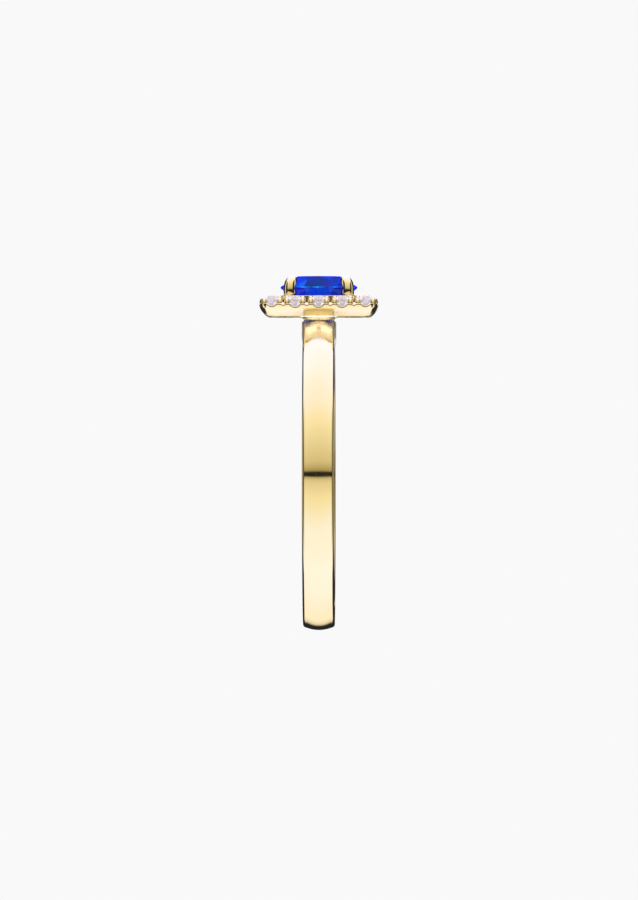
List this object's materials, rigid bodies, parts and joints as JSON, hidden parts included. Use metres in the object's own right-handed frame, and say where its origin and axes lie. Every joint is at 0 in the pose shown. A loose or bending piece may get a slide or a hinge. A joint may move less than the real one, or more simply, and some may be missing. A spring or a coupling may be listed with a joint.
{
  "type": "engagement ring",
  "caption": "Slim yellow gold finger ring with a round blue sapphire held in claws over a square diamond halo.",
  "frame": {"origin": "centre of the finger hole, half way across the hoop's width", "axes": "+X along the finger hole's axis, +Z from the finger hole's centre up through the sapphire's table, +Y round the hoop away from the viewer"},
  "size_m": [0.0076, 0.02, 0.0227],
  "materials": {
    "yellow_gold": "mirror polished 18 carat yellow gold",
    "sapphire": "clear faceted blue stone",
    "diamond": "clear faceted colourless stone"
  },
  "bodies": {
    "root": {"shank": "yellow_gold", "gallery_ring": "yellow_gold", "halo_tray": "yellow_gold", "claw_front_left": "yellow_gold", "claw_front_right": "yellow_gold", "claw_back_left": "yellow_gold", "claw_back_right": "yellow_gold", "centre_sapphire": "sapphire", "halo_diamond_01": "diamond", "halo_diamond_02": "diamond", "halo_diamond_03": "diamond", "halo_diamond_04": "diamond", "halo_diamond_05": "diamond", "halo_diamond_06": "diamond", "halo_diamond_07": "diamond", "halo_diamond_08": "diamond", "halo_diamond_09": "diamond", "halo_diamond_10": "diamond", "halo_diamond_11": "diamond", "halo_diamond_12": "diamond", "halo_diamond_13": "diamond", "halo_diamond_14": "diamond", "halo_diamond_15": "diamond", "halo_diamond_16": "diamond"}
  },
  "joints": []
}
